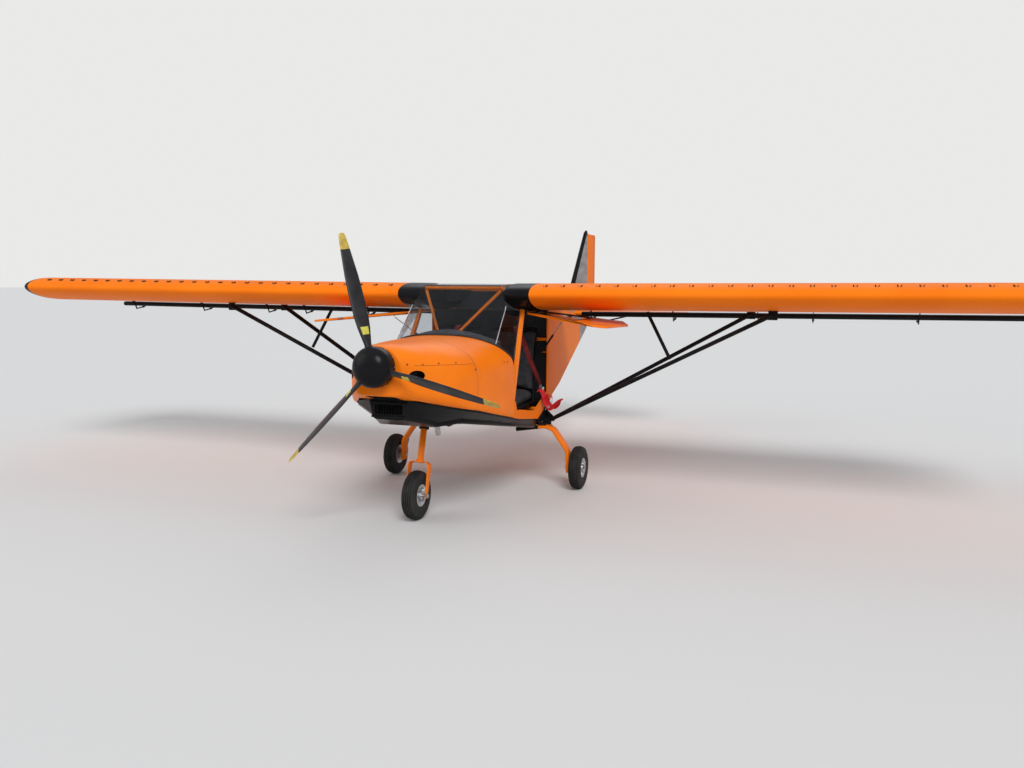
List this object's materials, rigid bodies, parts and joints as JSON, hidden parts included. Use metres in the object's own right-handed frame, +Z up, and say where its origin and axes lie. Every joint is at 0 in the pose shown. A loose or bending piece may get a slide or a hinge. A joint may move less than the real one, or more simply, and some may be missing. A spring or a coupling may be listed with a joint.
{
  "type": "microlight aircraft",
  "caption": "High-wing, strut-braced two-seat microlight aircraft on a nose-wheel undercarriage, with its nose propeller still and both cabin doors raised.",
  "frame": {"origin": "on the ground, midway between the spinner's tip and the rudder's trailing edge, on the centre line", "axes": "+Z up, +X to the left wing, +Y aft"},
  "size_m": [8.9814, 5.7298, 2.27],
  "materials": {
    "orange_paint": "gloss",
    "orange_skin": "gloss",
    "orange_shell": "gloss",
    "black_shell": "gloss",
    "black_strut": "satin",
    "black_skin": "satin",
    "grey_skin": "satin",
    "blade": "satin",
    "clear_sheet": "gloss",
    "dark_trim": "matte",
    "seat_cloth": "matte",
    "red_webbing": "matte",
    "tyre_rubber": "matte",
    "wheel_alloy": "satin",
    "plain_steel": "satin",
    "engine_mass": "satin"
  },
  "bodies": {
    "airframe": {"belly": "black_skin", "belts": "red_webbing", "cabin_tubes": "orange_paint", "control_stick": "black_strut", "cowl_lower": "black_shell", "cowl_upper": "orange_shell", "door_posts": "orange_paint", "engine": "engine_mass", "exhaust_pipe": "plain_steel", "fin": "grey_skin", "firewall": "plain_steel", "flaperon_hangers": "black_strut", "front_fuselage": "orange_skin", "gear_leg_left": "orange_skin", "gear_leg_right": "orange_skin", "instrument_panel": "dark_trim", "jury_struts": "black_strut", "nose_guide": "black_strut", "quarter_windows": "clear_sheet", "rear_fuselage": "orange_skin", "roof_glass": "clear_sheet", "root_fairing_left": "black_shell", "root_fairing_right": "black_shell", "seats": "seat_cloth", "side_panel_left": "orange_skin", "side_panel_right": "orange_skin", "stabiliser": "orange_skin", "strut_fittings": "plain_steel", "turtle_deck": "orange_skin", "windscreen": "clear_sheet", "wing_left": "orange_skin", "wing_right": "orange_skin", "wing_struts_left": "black_strut", "wing_struts_right": "black_strut", "wing_tip_left": "black_shell", "wing_tip_right": "black_shell"},
    "propeller": {"propeller": "blade", "spinner": "black_shell"},
    "nose_leg": {"nose_fork": "orange_paint"},
    "nose_wheel": {"nose_tyre": "tyre_rubber", "nose_hub": "wheel_alloy"},
    "rudder": {"rudder": "orange_skin"},
    "elevator": {"elevator": "orange_skin"},
    "main_wheel_left": {"main_tyre_left": "tyre_rubber", "main_hub_left": "wheel_alloy"},
    "flaperon_left": {"flaperon_left": "black_skin"},
    "door_left": {"door_frame_left": "orange_skin", "door_glass_left": "clear_sheet"},
    "stay_cylinder_left": {"stay_cylinder_left": "black_strut"},
    "stay_rod_left": {"stay_rod_left": "plain_steel"},
    "main_wheel_right": {"main_tyre_right": "tyre_rubber", "main_hub_right": "wheel_alloy"},
    "flaperon_right": {"flaperon_right": "black_skin"},
    "door_right": {"door_frame_right": "orange_skin", "door_glass_right": "clear_sheet"},
    "stay_cylinder_right": {"stay_cylinder_right": "black_strut"},
    "stay_rod_right": {"stay_rod_right": "plain_steel"}
  },
  "joints": [
    {"name": "propeller_turn", "type": "hinge", "parent": "airframe", "child": "propeller", "pos_m": [0, -2.76014, 1.132], "axis": [0, -0.9973, 0.0732], "continuous": true},
    {"name": "nose_steer", "type": "hinge", "parent": "airframe", "child": "nose_leg", "pos_m": [0, -2.09114, 0.399], "axis": [0, 0.2935, 0.956], "range_deg": [-25, 25]},
    {"name": "nose_wheel_turn", "type": "hinge", "parent": "nose_leg", "child": "nose_wheel", "pos_m": [0, -2.15314, 0.175], "axis": [1, 0, 0], "continuous": true},
    {"name": "rudder_turn", "type": "hinge", "parent": "airframe", "child": "rudder", "pos_m": [0, 2.49086, 1.8], "axis": [0, 0, 1], "range_deg": [-25, 25]},
    {"name": "elevator_turn", "type": "hinge", "parent": "airframe", "child": "elevator", "pos_m": [0, 2.27886, 1.3278], "axis": [1, 0, 0], "range_deg": [-20, 25]},
    {"name": "main_wheel_turn_left", "type": "hinge", "parent": "airframe", "child": "main_wheel_left", "pos_m": [0.823, -0.84264, 0.175], "axis": [1, 0, 0], "continuous": true},
    {"name": "flaperon_turn_left", "type": "hinge", "parent": "airframe", "child": "flaperon_left", "pos_m": [0.64, -0.05214, 1.35667], "axis": [1, 0, 0.0073], "range_deg": [-40, 12]},
    {"name": "door_turn_left", "type": "hinge", "parent": "airframe", "child": "door_left", "pos_m": [0.474, -1.12714, 1.435], "axis": [0, 1, 0], "range_deg": [0, 78]},
    {"name": "stay_swing_left", "type": "hinge", "parent": "airframe", "child": "stay_cylinder_left", "pos_m": [0.476, -0.75714, 1.096], "axis": [0.5968, -0.2299, -0.7688], "range_deg": [-0.5, 47]},
    {"name": "stay_slide_left", "type": "slide", "parent": "stay_cylinder_left", "child": "stay_rod_left", "axis": [0.5493, -0.5813, 0.6003], "range_m": [-0.1851, 0.001]},
    {"name": "main_wheel_turn_right", "type": "hinge", "parent": "airframe", "child": "main_wheel_right", "pos_m": [-0.823, -0.84264, 0.175], "axis": [1, 0, 0], "continuous": true},
    {"name": "flaperon_turn_right", "type": "hinge", "parent": "airframe", "child": "flaperon_right", "pos_m": [-0.64, -0.05214, 1.35667], "axis": [1, 0, -0.0073], "range_deg": [-40, 12]},
    {"name": "door_turn_right", "type": "hinge", "parent": "airframe", "child": "door_right", "pos_m": [-0.474, -1.12714, 1.435], "axis": [0, -1, 0], "range_deg": [0, 78]},
    {"name": "stay_swing_right", "type": "hinge", "parent": "airframe", "child": "stay_cylinder_right", "pos_m": [-0.476, -0.75714, 1.096], "axis": [0.5968, 0.2299, 0.7688], "range_deg": [-0.5, 47]},
    {"name": "stay_slide_right", "type": "slide", "parent": "stay_cylinder_right", "child": "stay_rod_right", "axis": [-0.5493, -0.5813, 0.6003], "range_m": [-0.1851, 0.001]}
  ],
  "couplings": [
    {"joint": "stay_swing_left", "follows": "door_turn_left", "ratio": 0.57812},
    {"joint": "stay_slide_left", "follows": "door_turn_left", "m_per_rad": -0.13525},
    {"joint": "stay_swing_right", "follows": "door_turn_right", "ratio": 0.57812},
    {"joint": "stay_slide_right", "follows": "door_turn_right", "m_per_rad": -0.13525}
  ]
}
